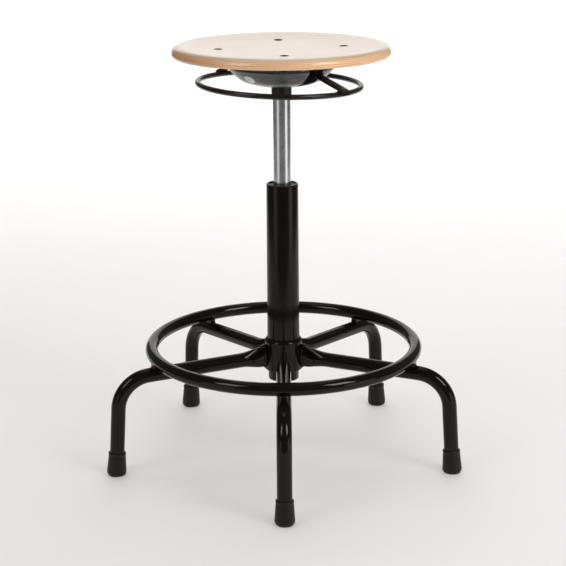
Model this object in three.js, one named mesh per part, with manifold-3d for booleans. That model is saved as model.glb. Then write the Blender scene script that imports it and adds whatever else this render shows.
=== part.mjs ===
// Adjustable swivel stool: five-leg tubular base with a foot ring, a gas-spring column, and a round
// plywood seat over a pressed-steel dish with a ring lever. Units are mm, +Z is up, floor at z = 0.
import * as THREE from "three";
import { mergeVertices } from "three/addons/utils/BufferGeometryUtils.js";
import Module from "manifold-3d";

const wasm = await Module();
wasm.setup();

// ---------- driving dimensions ----------
const ROUND_SEGMENTS = 30;
const SMALL_SEGMENTS = 18;
const LEG_SIDES = 12;
const GAP = 0.3; // clearance between neighbouring pieces
const EDGE = 0.8; // edges broken on turned pieces
const AXIS_Y = 27.24; // column axis, so that the five-leg star is centred on the frame's origin
const LEG_COUNT = 5;
const LEG_FIRST_AZIMUTH = -90;

const TUBE_R = 11.8; // leg tube
const TUBE_WALL = 1.8;
const LEG_HUB_R = 31.4; // where the flattened leg end meets the hub sleeve
const LEG_HUB_Z = 173.1;
const LEG_CORNER = [276.6, 160.6]; // where the two straight runs would meet
const LEG_FLOOR_R = 286.6; // leg axis at the floor
const LEG_BEND_R = 55;
const BLADE_HALF_HEIGHT = 17.2;
const BLADE_HALF_THICK = 2.9;
const BLADE_SQUARENESS = 0.6; // under 1 the flattened section has squarer corners than an ellipse
const SPLAY = Math.atan2(LEG_FLOOR_R - LEG_CORNER[0], LEG_CORNER[1]);

const FOOT_HEIGHT = 38.5;
const FOOT_POCKET = 8; // rubber left under the leg's end

const RING_RADIUS = 216; // foot ring
const RING_TUBE_R = 10.4;
const RING_Z = 189.4;
const LUG = { radial: 14, across: 10, bottom: 172, top: 181.4 };
const CUTTER_LENGTH = 40; // of the round tools that shape a lug
const CUTTER_SEGMENTS = 32;

const HUB = { r: 31, bottom: 151, top: 204, shoulder: 4, land: 1.2 };
const COLUMN = { bottom: 133.5, top: 461.5, bore: 22.2, rBottom: 24.9, rHub: 26.4, rTop: 25.6 };
const BUSH = { bottom: 378, top: 459.5, bore: 14.3 };

const ROD = { r: 5, bottom: 136, top: 381, grooveR: 4, grooveBottom: 138.6, grooveTop: 141.4 };
const PISTON = { r: 11.6, bottom: 368.5, top: 380.5 };
const DISC = { bottom: 141.5, thick: 3 };
const RACE = { r: 16, thick: 2.2 };
const WASHER_THICK = 3;
const BUMPER = { r: 13.5, top: 166, chamfer: 3 };
const CLIP = { r: 9, mouth: 6.4 };

const SPRING = { r: 14, bore: 12, bottom: 297, cap: 10, neckZ: 600, top: 636, neckR: 13.2, roof: 12 };
const COLLAR = { r: 16, bottom: 600, top: 636 };
const BUTTON = { r: 3.9, bottom: 618, top: 647.2, clearance: 0.4 };

const SEAT_R = 172;
const SEAT_BOTTOM = 666.6;
const SEAT_FLAT_Z = 677.3; // the flat middle of the shallow saddle
const SEAT_FLAT_R = 60;

const MECHANISM_AZIMUTH = -42.8; // the lever strip's direction
const BOLT_PLACES = [[99, 7.9], [93.3, 92.9], [99, 187.9], [93.3, 272.9]]; // radius and azimuth
const BOLT = { headR: 7.3, headZ: 677.9, dome: 0.9, coneDepth: 4.2, r: 3, bottom: 653.5 };
const NUT = { acrossFlats: 10, top: 661.5, thick: 5 };
const PLAIN_WASHER = { r: 6, top: 663.5, thick: 1.6 };

const DISH_FLOOR_Z = 620;
const DISH_SKIN = 2.5;
const DISH_SLOT = { azimuth: -49.4, from: 46, to: 101, halfWidth: 13.7, bottom: 621, top: 662.5 };
const STRIP_CLEARANCE = { from: 66, to: 101, halfWidth: 10.5, bottom: 635, rightTop: 645, leftTop: 655 };
const LABEL = { azimuth: -131.6, r: 8.8, thick: 0.35, at: [73.2, 636.6], offWall: 0.25 };

const LEVER_PLANE_Z = 621.1;
const LEVER_RADIUS = 128.4;
const LEVER_WIRE_R = 4.25;
const LEVER_OFFSET_X = -3.3;
const LEVER_TILT_Y = 1.95;
const STRIP = {
  halfWidth: 8.8, thick: 3.4, middleZ: 649, rootS: 57, rootZ: 648.3, rootLength: 4,
  wrapR: 6.35, wrapEnd: -0.25, // bent round the wire down to this angle, in radians
};

// ---------- helpers ----------
const rad = THREE.MathUtils.degToRad;
const polar = (r, azimuth) => [r * Math.cos(rad(azimuth)), r * Math.sin(rad(azimuth))];

// A solid of revolution about Z from a closed (r, z) outline.
function revolve(outline, segments = ROUND_SEGMENTS) {
  const area = outline.reduce((sum, [r, z], i) => {
    const [r2, z2] = outline[(i + 1) % outline.length];
    return sum + r * z2 - r2 * z;
  }, 0);
  const points = (area > 0 ? outline : [...outline].reverse()).map(([r, z]) => new THREE.Vector2(r, z));
  const onAxis = points.filter((p) => p.x === 0).length === 2;
  if (onAxis) while (points[0].x !== 0 || points.at(-1).x !== 0) points.push(points.shift());
  else points.push(points[0].clone());
  return new THREE.LatheGeometry(points, segments).rotateX(Math.PI / 2);
}

// A plain ring or washer with its axis on Z.
const tube = (inner, outer, bottom, top, segments = ROUND_SEGMENTS) =>
  revolve([[inner, bottom], [outer, bottom], [outer, top], [inner, top]], segments);

// A closed skin over sections of equal point counts, capped at both ends.
function loft(sections) {
  const count = sections[0].length;
  const positions = sections.flat().flatMap((p) => [p.x, p.y, p.z]);
  const index = [];
  for (let k = 0; k + 1 < sections.length; k++) {
    for (let i = 0; i < count; i++) {
      const a = k * count + i;
      const b = k * count + ((i + 1) % count);
      index.push(a, b, b + count, a, b + count, a + count);
    }
  }
  const last = (sections.length - 1) * count;
  for (let i = 1; i + 1 < count; i++) {
    index.push(0, i + 1, i);
    index.push(last, last + i, last + i + 1);
  }
  const geometry = new THREE.BufferGeometry();
  geometry.setAttribute("position", new THREE.BufferAttribute(new Float32Array(positions), 3));
  geometry.setIndex(index);
  return geometry;
}

function toSolid(geometry) {
  const bare = geometry.clone();
  bare.deleteAttribute("normal");
  bare.deleteAttribute("uv");
  const merged = mergeVertices(bare, 1e-4);
  return new wasm.Manifold(
    new wasm.Mesh({
      numProp: 3,
      vertProperties: merged.attributes.position.array,
      triVerts: new Uint32Array(merged.index.array),
    }),
  );
}

function toGeometry(solid) {
  const mesh = solid.getMesh();
  const geometry = new THREE.BufferGeometry();
  geometry.setAttribute("position", new THREE.BufferAttribute(new Float32Array(mesh.vertProperties), 3));
  geometry.setIndex(new THREE.BufferAttribute(new Uint32Array(mesh.triVerts), 1));
  return geometry;
}

const subtract = (geometry, ...tools) =>
  toGeometry(tools.reduce((solid, tool) => solid.subtract(toSolid(tool)), toSolid(geometry)));
const intersect = (geometry, tool) => toGeometry(toSolid(geometry).intersect(toSolid(tool)));
const block = (x, y, z, dx, dy, dz) => new THREE.BoxGeometry(dx, dy, dz).translate(x, y, z);

const LOOKS = {
  blackGloss: { color: 0x0b0b0c, roughness: 0.18, metalness: 0.1 },
  blackSatin: { color: 0x141414, roughness: 0.45, metalness: 0.2 },
  rubber: { color: 0x101010, roughness: 0.8, metalness: 0 },
  chrome: { color: 0xc9cbcd, roughness: 0.12, metalness: 1 },
  steel: { color: 0x8f9193, roughness: 0.35, metalness: 1 },
  darkSteel: { color: 0x3a3a3b, roughness: 0.4, metalness: 0.8 },
  pressedSteel: { color: 0x474747, roughness: 0.38, metalness: 0.5 },
  nylon: { color: 0x1c1c1d, roughness: 0.6, metalness: 0 },
  beech: { color: 0xe9d9c4, roughness: 0.42, metalness: 0 },
  label: { color: 0xd8d6d2, roughness: 0.5, metalness: 0 },
};

const stool = new THREE.Group();
stool.name = "adjustable_swivel_stool";
stool.position.y = AXIS_Y;
const add = (name, geometry, look) => {
  geometry.computeVertexNormals();
  const mesh = new THREE.Mesh(geometry, new THREE.MeshStandardMaterial(LOOKS[look]));
  mesh.name = name;
  stool.add(mesh);
};

// ---------- base: hub, legs, feet, foot ring ----------
const columnRadius = (z) =>
  z < HUB.top
    ? THREE.MathUtils.mapLinear(z, COLUMN.bottom, HUB.top, COLUMN.rBottom, COLUMN.rHub)
    : THREE.MathUtils.mapLinear(z, HUB.top, COLUMN.top, COLUMN.rHub, COLUMN.rTop);

add("hub_sleeve", revolve([
  [columnRadius(HUB.bottom) + GAP, HUB.bottom], [HUB.r - EDGE, HUB.bottom], [HUB.r, HUB.bottom + EDGE],
  [HUB.r, HUB.top - HUB.shoulder], [columnRadius(HUB.top) + HUB.land, HUB.top],
  [columnRadius(HUB.top) + GAP, HUB.top],
]), "blackGloss");

// One cross-section of a leg: half-heights a (upright) and b (sideways) about a point of its axis.
function legSection(at, direction, a, b, squareness) {
  const up = new THREE.Vector3(-direction.z, 0, direction.x);
  return Array.from({ length: LEG_SIDES }, (_, i) => {
    const angle = (2 * Math.PI * i) / LEG_SIDES;
    const power = (v) => Math.sign(v) * Math.abs(v) ** squareness;
    return at.clone()
      .addScaledVector(up, a * power(Math.sin(angle)))
      .add(new THREE.Vector3(0, b * power(Math.cos(angle)), 0));
  });
}

// The leg's axis in its own XZ plane: a near-level run, a bend, and a near-upright run.
const hubPoint = new THREE.Vector3(LEG_HUB_R, 0, LEG_HUB_Z);
const outward = new THREE.Vector3(1, 0, 0);
const corner = new THREE.Vector3(LEG_CORNER[0], 0, LEG_CORNER[1]);
const floorPoint = new THREE.Vector3(LEG_FLOOR_R, 0, 0);
const level = corner.clone().sub(hubPoint).normalize();
const upright = floorPoint.clone().sub(corner).normalize();
const turn = level.angleTo(upright);
const bendStart = corner.clone().addScaledVector(level, -LEG_BEND_R * Math.tan(turn / 2));
const bendCentre = bendStart.clone()
  .addScaledVector(new THREE.Vector3(level.z, 0, -level.x), LEG_BEND_R);

// How the tube opens out from its pressed end: distance from the hub, roundness, squareness.
const SQUASH = [
  [0, 0, 1], [7, 0, 1], [13, 0.16, 0.9], [19, 0.5, 0.75], [26, 0.8, 0.5], [33, 0.95, 0.25], [41, 1, 0],
];
const BEND_STEPS = 6;

function legStations() {
  const stations = [];
  for (const [distance, round, flat] of SQUASH) {
    stations.push({
      at: hubPoint.clone().addScaledVector(level, distance),
      direction: round === 0 ? outward : level, // an upright end that sits flat against the hub
      a: THREE.MathUtils.lerp(BLADE_HALF_HEIGHT, TUBE_R, round),
      b: THREE.MathUtils.lerp(BLADE_HALF_THICK, TUBE_R, round),
      squareness: THREE.MathUtils.lerp(1, BLADE_SQUARENESS, flat),
    });
  }
  const axis = new THREE.Vector3(0, 1, 0);
  for (let i = 0; i <= BEND_STEPS; i++) {
    const angle = (turn * i) / BEND_STEPS;
    stations.push({
      at: bendStart.clone().sub(bendCentre).applyAxisAngle(axis, angle).add(bendCentre),
      direction: level.clone().applyAxisAngle(axis, angle),
      a: TUBE_R, b: TUBE_R, squareness: 1,
    });
  }
  const endRise = (FOOT_POCKET + GAP) / -upright.z;
  stations.push({
    at: floorPoint.clone().addScaledVector(upright, -endRise),
    direction: upright, a: TUBE_R, b: TUBE_R, squareness: 1,
  });
  return stations;
}

function legGeometry() {
  const stations = legStations();
  const outside = stations.map((s) => legSection(s.at, s.direction, s.a, s.b, s.squareness));
  const hollowFrom = 4; // stations nearer the hub are pressed flat, with no space inside
  const inside = stations.slice(hollowFrom).reverse().map((s) =>
    legSection(s.at, s.direction, s.a - TUBE_WALL, s.b - TUBE_WALL, s.squareness));
  return loft([...outside, ...inside]);
}

function footGeometry() {
  const outline = [
    [0, -3], [13, -3], [13, 0], [15.8, 3.6], [16.25, 7], [13.8, 34.6],
    [14.3, 35.6], [14.1, FOOT_HEIGHT], [TUBE_R + GAP, FOOT_HEIGHT],
    [TUBE_R + GAP, FOOT_POCKET], [0, FOOT_POCKET],
  ];
  const ferrule = revolve(outline, SMALL_SEGMENTS).rotateY(-SPLAY).translate(LEG_FLOOR_R, 0, 0);
  const aboveFloor = 60; // a cube on the floor, larger than the foot
  return intersect(ferrule, block(LEG_FLOOR_R, 0, aboveFloor / 2, aboveFloor, aboveFloor, aboveFloor));
}

function lugGeometry() {
  const height = LUG.top - LUG.bottom;
  const body = block(RING_RADIUS, 0, LUG.bottom + height / 2, LUG.radial, LUG.across, height);
  const cutter = (r) => new THREE.CylinderGeometry(r + GAP, r + GAP, CUTTER_LENGTH, CUTTER_SEGMENTS);
  const ring = cutter(RING_TUBE_R).translate(RING_RADIUS, 0, RING_Z);
  const reach = (RING_RADIUS - LEG_HUB_R) / level.x;
  const below = hubPoint.clone().addScaledVector(level, reach);
  const leg = cutter(TUBE_R).rotateZ(Math.PI / 2).rotateY(Math.atan2(-level.z, level.x))
    .translate(below.x, 0, below.z);
  return subtract(body, ring, leg);
}

for (let i = 0; i < LEG_COUNT; i++) {
  const azimuth = rad(LEG_FIRST_AZIMUTH + (360 / LEG_COUNT) * i);
  add(`leg_${i + 1}`, legGeometry().rotateZ(azimuth), "blackGloss");
  add(`foot_${i + 1}`, footGeometry().rotateZ(azimuth), "rubber");
  add(`ring_lug_${i + 1}`, lugGeometry().rotateZ(azimuth), "blackGloss");
}
add("foot_ring", new THREE.TorusGeometry(RING_RADIUS, RING_TUBE_R, 12, 50).translate(0, 0, RING_Z),
  "blackGloss");

// ---------- column ----------
add("column_tube", revolve([
  [COLUMN.bore, COLUMN.bottom], [COLUMN.rBottom - EDGE, COLUMN.bottom],
  [columnRadius(COLUMN.bottom + EDGE), COLUMN.bottom + EDGE], [COLUMN.rHub, HUB.top],
  [columnRadius(COLUMN.top - EDGE), COLUMN.top - EDGE], [COLUMN.rTop - EDGE, COLUMN.top],
  [COLUMN.bore, COLUMN.top],
]), "blackGloss");
add("guide_bush", tube(BUSH.bore, COLUMN.bore - GAP, BUSH.bottom, BUSH.top), "nylon");
add("bottom_disc", tube(ROD.r + GAP, COLUMN.bore - GAP, DISC.bottom, DISC.bottom + DISC.thick), "steel");

let stack = DISC.bottom + DISC.thick + GAP;
for (const [name, thick, look] of [
  ["lower_race", RACE.thick, "steel"], ["thrust_washer", WASHER_THICK, "nylon"],
  ["upper_race", RACE.thick, "steel"],
]) {
  add(name, tube(ROD.r + GAP, RACE.r, stack, stack + thick, SMALL_SEGMENTS), look);
  stack += thick + GAP;
}
add("bumper", revolve([
  [ROD.r + GAP, stack], [BUMPER.r, stack], [BUMPER.r, BUMPER.top - BUMPER.chamfer],
  [BUMPER.r - BUMPER.chamfer, BUMPER.top],
  [ROD.r + GAP, BUMPER.top],
], SMALL_SEGMENTS), "rubber");

// ---------- gas spring ----------
add("piston_rod", revolve([
  [0, ROD.bottom], [ROD.r - EDGE, ROD.bottom], [ROD.r, ROD.bottom + EDGE], [ROD.r, ROD.grooveBottom],
  [ROD.grooveR, ROD.grooveBottom], [ROD.grooveR, ROD.grooveTop], [ROD.r, ROD.grooveTop],
  [ROD.r, ROD.top], [0, ROD.top],
], SMALL_SEGMENTS), "chrome");
add("piston", tube(ROD.r + GAP, PISTON.r, PISTON.bottom, PISTON.top, SMALL_SEGMENTS), "steel");
add("rod_clip", subtract(
  tube(ROD.grooveR + GAP, CLIP.r, ROD.grooveBottom + GAP, ROD.grooveTop - GAP, SMALL_SEGMENTS),
  block(CLIP.r, 0, ROD.grooveTop, 2 * CLIP.r, CLIP.mouth, 2 * CLIP.r),
), "steel");
add("spring_cylinder", revolve([
  [ROD.r + GAP, SPRING.bottom], [SPRING.r - EDGE, SPRING.bottom], [SPRING.r, SPRING.bottom + EDGE],
  [SPRING.r, SPRING.neckZ], [SPRING.neckR, SPRING.top],
  [BUTTON.r + BUTTON.clearance, SPRING.top],
  [BUTTON.r + BUTTON.clearance, SPRING.top - SPRING.roof], [SPRING.bore, SPRING.top - SPRING.roof],
  [SPRING.bore, SPRING.bottom + SPRING.cap], [ROD.r + GAP, SPRING.bottom + SPRING.cap],
]), "chrome");
add("valve_button", revolve([
  [0, BUTTON.bottom], [BUTTON.r, BUTTON.bottom], [BUTTON.r, BUTTON.top - EDGE],
  [BUTTON.r - EDGE, BUTTON.top], [0, BUTTON.top],
], SMALL_SEGMENTS), "darkSteel");

// ---------- seat mechanism ----------
add("socket_collar", revolve([
  [SPRING.r + GAP, COLLAR.bottom], [COLLAR.r - EDGE, COLLAR.bottom], [COLLAR.r, COLLAR.bottom + EDGE],
  [COLLAR.r, COLLAR.top], [SPRING.neckR + GAP, COLLAR.top],
]), "blackSatin");

const dishOutside = [
  [COLLAR.r + GAP, DISH_FLOOR_Z], [36, DISH_FLOOR_Z], [47, 622.8], [57, 625.6], [65, 629.2],
  [72, 634.8], [79, 641.8], [83.8, 648.6], [82.2, 651.4], [81.8, 663.8], [108, 663.8],
];
const dishInside = [
  [108, 666.3], [79.4, 666.3], [79.7, 651], [80.6, 648.6], [77, 643.3],
  [70.2, 636.6], [63.7, 631.4], [56.1, 628], [46.3, 625.2], [35.7, DISH_FLOOR_Z + DISH_SKIN],
  [COLLAR.r + GAP, DISH_FLOOR_Z + DISH_SKIN],
];
const boltHole = ([radius, azimuth]) => {
  const [x, y] = polar(radius, azimuth);
  const long = 60; // right through the dish and the nut
  return new THREE.CylinderGeometry(BOLT.r + GAP, BOLT.r + GAP, long, SMALL_SEGMENTS)
    .rotateX(Math.PI / 2).translate(x, y, SEAT_BOTTOM);
};
// An opening through the dish wall, cut straight out along an azimuth.
const opening = ({ from, to, halfWidth, bottom }, azimuth, top) => block(
  (from + to) / 2, 0, (bottom + top) / 2, to - from, 2 * halfWidth, top - bottom,
).rotateZ(rad(azimuth));
// The lever's slot: an opening whose inner end is round.
function slot(azimuth) {
  const { from, halfWidth, bottom, top } = DISH_SLOT;
  const [x, y] = polar(from + halfWidth, azimuth);
  const roundEnd = new THREE.CylinderGeometry(halfWidth, halfWidth, top - bottom, ROUND_SEGMENTS)
    .rotateX(Math.PI / 2).translate(x, y, (bottom + top) / 2);
  return [opening({ ...DISH_SLOT, from: from + halfWidth }, azimuth, top), roundEnd];
}
add("dish", subtract(
  revolve([...dishOutside, ...dishInside], 40),
  ...slot(DISH_SLOT.azimuth),
  ...slot(DISH_SLOT.azimuth + 180),
  opening(STRIP_CLEARANCE, MECHANISM_AZIMUTH, STRIP_CLEARANCE.rightTop),
  opening(STRIP_CLEARANCE, MECHANISM_AZIMUTH + 180, STRIP_CLEARANCE.leftTop),
  ...BOLT_PLACES.map(boltHole),
), "pressedSteel");

// A round label that follows the dish's curved wall.
const [wallStart, wallEnd] = dishOutside.slice(5, 7);
const wall = dishOutside.slice(3, 8).map(([r, z]) => [r + LABEL.offWall, z - GAP]);
const wallFace = wall.map(([r, z]) => [r + LABEL.thick * 0.6, z - LABEL.thick]);
const wallBand = revolve([...wall, ...wallFace.reverse()], 60);
const wallSlope = Math.atan2(wallEnd[1] - wallStart[1], wallEnd[0] - wallStart[0]);
const labelPunch = new THREE.CylinderGeometry(LABEL.r, LABEL.r, 2 * LABEL.r, 20).rotateX(Math.PI / 2)
  .rotateY(-wallSlope).translate(LABEL.at[0], 0, LABEL.at[1]).rotateZ(rad(LABEL.azimuth));
add("round_label", intersect(labelPunch, wallBand), "label");

// ---------- seat ----------
const seatOutline = [
  [0, SEAT_BOTTOM], [169.6, SEAT_BOTTOM], [SEAT_R, 670], [171.2, 674.6], [168, 679.2],
  [162.5, 682], [156, 682.7], [146, 682], [126, 680], [104, 678.2], [84, 677.5],
  [SEAT_FLAT_R, SEAT_FLAT_Z], [0, SEAT_FLAT_Z],
];
const countersink = ([radius, azimuth]) => {
  const [x, y] = polar(radius, azimuth);
  const top = BOLT.headZ - BOLT.coneDepth;
  const past = 5; // beyond both faces of the seat
  return revolve([
    [0, SEAT_BOTTOM - past], [BOLT.r + GAP, SEAT_BOTTOM - past], [BOLT.r + GAP, top - GAP],
    [BOLT.headR + GAP, BOLT.headZ - GAP], [BOLT.headR + GAP, BOLT.headZ + past], [0, BOLT.headZ + past],
  ], SMALL_SEGMENTS).translate(x, y, 0);
};
add("seat", subtract(revolve(seatOutline, 48), ...BOLT_PLACES.map(countersink)), "beech");

BOLT_PLACES.forEach(([radius, azimuth], i) => {
  const [x, y] = polar(radius, azimuth);
  add(`seat_bolt_${i + 1}`, revolve([
    [0, BOLT.bottom], [BOLT.r - EDGE, BOLT.bottom], [BOLT.r, BOLT.bottom + EDGE],
    [BOLT.r, BOLT.headZ - BOLT.coneDepth], [BOLT.headR, BOLT.headZ - GAP],
    ...[0.85, 0.55, 0.25, 0].map((t) => [BOLT.headR * t, BOLT.headZ + BOLT.dome * (1 - t * t)]),
  ], SMALL_SEGMENTS).translate(x, y, 0), "darkSteel");
  const washerBottom = PLAIN_WASHER.top - PLAIN_WASHER.thick;
  add(`plain_washer_${i + 1}`,
    tube(BOLT.r + GAP, PLAIN_WASHER.r, washerBottom, PLAIN_WASHER.top, SMALL_SEGMENTS).translate(x, y, 0),
    "steel");
  const hexR = NUT.acrossFlats / Math.sqrt(3);
  const hex = new THREE.CylinderGeometry(hexR, hexR, NUT.thick, 6).rotateX(Math.PI / 2)
    .rotateZ(rad(azimuth)).translate(x, y, NUT.top - NUT.thick / 2);
  add(`seat_nut_${i + 1}`, subtract(hex, boltHole([radius, azimuth])), "steel");
});

// ---------- ring lever ----------
// Its own frame is level; it then takes the slight sag it rests at.
const sag = new THREE.Matrix4().makeTranslation(0, 0, LEVER_PLANE_Z)
  .multiply(new THREE.Matrix4().makeRotationY(rad(LEVER_TILT_Y)))
  .multiply(new THREE.Matrix4().makeTranslation(0, 0, -LEVER_PLANE_Z));
add("lever_ring", new THREE.TorusGeometry(LEVER_RADIUS, LEVER_WIRE_R, 10, 44)
  .translate(LEVER_OFFSET_X, 0, LEVER_PLANE_Z).applyMatrix4(sag), "blackSatin");

// The strip's axis as (distance along, height): over the valve, out of the dish, and round the wire.
function stripHalf(side) {
  const [ex, ey] = polar(1, MECHANISM_AZIMUTH);
  const across = LEVER_OFFSET_X * ex * side;
  const offAxis = LEVER_OFFSET_X * ey;
  const wireS = across + Math.sqrt(LEVER_RADIUS ** 2 - offAxis ** 2);
  const toRoot = Math.atan2(STRIP.rootZ - LEVER_PLANE_Z, STRIP.rootS - wireS);
  const distance = Math.hypot(STRIP.rootZ - LEVER_PLANE_Z, STRIP.rootS - wireS);
  const first = toRoot - Math.acos(STRIP.wrapR / distance);
  const path = [[STRIP.rootS - STRIP.rootLength, STRIP.middleZ], [STRIP.rootS, STRIP.rootZ]];
  const steps = 5;
  for (let i = 0; i <= steps; i++) {
    const angle = THREE.MathUtils.lerp(first, STRIP.wrapEnd, i / steps);
    path.push([wireS + STRIP.wrapR * Math.cos(angle), LEVER_PLANE_Z + STRIP.wrapR * Math.sin(angle)]);
  }
  return path.map(([s, z]) => [side * s, z]);
}

function stripGeometry() {
  const path = [...stripHalf(-1).reverse(), ...stripHalf(1)];
  const sections = path.map(([s, z], i) => {
    const [s0, z0] = path[Math.max(i - 1, 0)];
    const [s1, z1] = path[Math.min(i + 1, path.length - 1)];
    const length = Math.hypot(s1 - s0, z1 - z0);
    const normal = [-(z1 - z0) / length, (s1 - s0) / length];
    const corners = [[-1, -1], [1, -1], [1, 1], [-1, 1]];
    return corners.map(([wide, high]) => new THREE.Vector3(
      s + (normal[0] * high * STRIP.thick) / 2,
      wide * STRIP.halfWidth,
      z + (normal[1] * high * STRIP.thick) / 2,
    ));
  });
  return loft(sections).rotateZ(rad(MECHANISM_AZIMUTH)).applyMatrix4(sag);
}
add("lever_strip", stripGeometry(), "blackSatin");

export default stool;
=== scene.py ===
import math
import random

import bmesh
import bpy
from mathutils import Matrix, Vector


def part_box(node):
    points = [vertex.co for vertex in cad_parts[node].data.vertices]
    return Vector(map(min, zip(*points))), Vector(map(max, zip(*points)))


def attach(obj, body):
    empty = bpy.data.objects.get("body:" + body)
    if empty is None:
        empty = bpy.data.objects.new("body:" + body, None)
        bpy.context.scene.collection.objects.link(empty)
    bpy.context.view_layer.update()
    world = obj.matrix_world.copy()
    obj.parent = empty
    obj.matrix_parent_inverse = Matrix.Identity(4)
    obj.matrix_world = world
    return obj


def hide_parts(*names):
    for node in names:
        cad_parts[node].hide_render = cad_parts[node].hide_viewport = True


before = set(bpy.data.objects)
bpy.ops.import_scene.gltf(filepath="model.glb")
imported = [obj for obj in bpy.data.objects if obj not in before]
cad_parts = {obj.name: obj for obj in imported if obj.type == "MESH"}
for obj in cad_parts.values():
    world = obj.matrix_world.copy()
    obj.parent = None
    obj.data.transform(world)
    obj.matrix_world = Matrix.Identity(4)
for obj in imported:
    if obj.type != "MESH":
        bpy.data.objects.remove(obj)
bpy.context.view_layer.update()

# ---------------------------------------------------------------- places taken from the frame
MM = 0.001
cyl_low, cyl_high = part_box("spring_cylinder")
AXIS_Y = (cyl_low[1] + cyl_high[1]) / 2
AXIS = Vector((0, AXIS_Y, 0))


def node_mm(name):
    """Lowest and highest corner of a CAD node in mm about the column axis."""
    low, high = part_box(name)
    return ([v / MM for v in (Vector(low) - AXIS)], [v / MM for v in (Vector(high) - AXIS)])


def centre_mm(name):
    """Middle of a CAD node in mm about the column axis."""
    low, high = node_mm(name)
    return [(a + b) / 2 for a, b in zip(low, high)]


# ---------------------------------------------------------------- camera, first
CAMERA_DISTANCE = 2.50069
CAMERA_HEIGHT = 1.01347
PITCH = math.radians(16.022)
ROLL = -0.00777
LENS = 101.69

forward = Vector((0, math.cos(PITCH), -math.sin(PITCH)))
side = Vector((1, 0, 0))
above = side.cross(forward)
right = side * math.cos(ROLL) + above * math.sin(ROLL)
top = above * math.cos(ROLL) - side * math.sin(ROLL)
camera_data = bpy.data.cameras.new("camera")
camera_data.lens = LENS
camera_data.sensor_width = 36
camera_data.clip_end = 50
camera = bpy.data.objects.new("camera", camera_data)
bpy.context.scene.collection.objects.link(camera)
rotation = Matrix((right, top, -forward)).transposed().to_4x4()
camera.matrix_world = Matrix.Translation((0, AXIS_Y - CAMERA_DISTANCE, CAMERA_HEIGHT)) @ rotation
bpy.context.scene.camera = camera


# ---------------------------------------------------------------- mesh helpers
def make(name, verts, faces, angle=32):
    """A mesh object from points in mm about the column axis, smooth but for edges over angle degrees."""
    mesh = bpy.data.meshes.new(name)
    mesh.from_pydata([Vector(v) * MM + AXIS for v in verts], [], faces)
    piece = bpy.data.objects.new(name, mesh)
    bpy.context.scene.collection.objects.link(piece)
    tidy_normals(piece, angle)
    return piece


def tidy_normals(piece, angle=32):
    """Welds doubled points, faces every normal outward and marks edges over angle degrees as sharp."""
    bm = bmesh.new()
    bm.from_mesh(piece.data)
    bmesh.ops.remove_doubles(bm, verts=bm.verts, dist=1e-6)
    bmesh.ops.recalc_face_normals(bm, faces=bm.faces)
    for face in bm.faces:
        face.smooth = True
    limit = math.radians(angle)
    for edge in bm.edges:
        edge.smooth = len(edge.link_faces) == 2 and edge.calc_face_angle(0) < limit
    bm.to_mesh(piece.data)
    bm.free()


def fillet(outline, closed=False, steps=5):
    """Rounds an outline of (r, z) or (r, z, radius) corners."""
    result = []
    count = len(outline)
    for i, corner in enumerate(outline):
        here = Vector(corner[:2])
        radius = corner[2] if len(corner) > 2 else 0
        if radius == 0 or (not closed and i in (0, count - 1)):
            result.append(tuple(here))
            continue
        before = Vector(outline[i - 1][:2]) - here
        after = Vector(outline[(i + 1) % count][:2]) - here
        half = before.angle(after) / 2
        cut = min(radius / math.tan(half), before.length * 0.49, after.length * 0.49)
        start, end = here + before.normalized() * cut, here + after.normalized() * cut
        for k in range(steps + 1):
            t = k / steps
            a, b = start.lerp(here, t), here.lerp(end, t)
            result.append(tuple(a.lerp(b, t)))
    return result


def revolve(name, outline, segments=128, closed=True, angle=32, centre=(0, 0)):
    """Turns an (r, z) outline about the upright axis through centre."""
    verts, rows = [], []
    for r, z in outline:
        if r < 1e-6:
            rows.append([len(verts)])
            verts.append((centre[0], centre[1], z))
            continue
        rows.append(list(range(len(verts), len(verts) + segments)))
        for k in range(segments):
            turn = 2 * math.pi * k / segments
            verts.append((centre[0] + r * math.cos(turn), centre[1] + r * math.sin(turn), z))
    faces = []
    pairs = list(zip(rows, rows[1:]))
    if closed and len(rows[0]) > 1 and len(rows[-1]) > 1:
        pairs.append((rows[-1], rows[0]))
    for low, high in pairs:
        for k in range(segments):
            n = (k + 1) % segments
            if len(low) == 1 and len(high) == 1:
                continue
            if len(low) == 1:
                faces.append((low[0], high[n], high[k]))
            elif len(high) == 1:
                faces.append((low[k], low[n], high[0]))
            else:
                faces.append((low[k], low[n], high[n], high[k]))
    return make(name, verts, faces, angle)


def skin(name, sections, loop=False, angle=32):
    """A closed skin over equal sections, capped at its ends unless it is a loop."""
    count = len(sections[0])
    verts = [p for section in sections for p in section]
    faces = []
    total = len(sections)
    for k in range(total if loop else total - 1):
        base, nxt = k * count, ((k + 1) % total) * count
        for i in range(count):
            j = (i + 1) % count
            faces.append((base + i, base + j, nxt + j, nxt + i))
    if not loop:
        faces.append(tuple(reversed(range(count))))
        faces.append(tuple(range((total - 1) * count, total * count)))
    return make(name, verts, faces, angle)


def tube_along(name, path, radius, sides=16, loop=False, wobble=0.0, seed=1):
    """A round bar along points; wobble makes it uneven like a weld bead."""
    draw = random.Random(seed)
    path = [Vector(p) for p in path]
    total = len(path)
    turns = [2 * math.pi * k / sides for k in range(sides)]
    sections = []
    for i, p in enumerate(path):
        before = path[i - 1] if (loop or i) else p
        after = path[(i + 1) % total] if (loop or i + 1 < total) else p
        along = (after - before).normalized()
        hint = Vector((0, 0, 1)) if abs(along.z) < 0.9 else Vector((1, 0, 0))
        u = along.cross(hint).normalized()
        v = u.cross(along)
        size = radius * (1 + wobble * draw.uniform(-1, 1))
        if not loop and wobble and i in (0, total - 1):
            size *= 0.35
        sections.append([p + u * size * math.cos(t) + v * size * math.sin(t) for t in turns])
    return skin(name, sections, loop)


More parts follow.
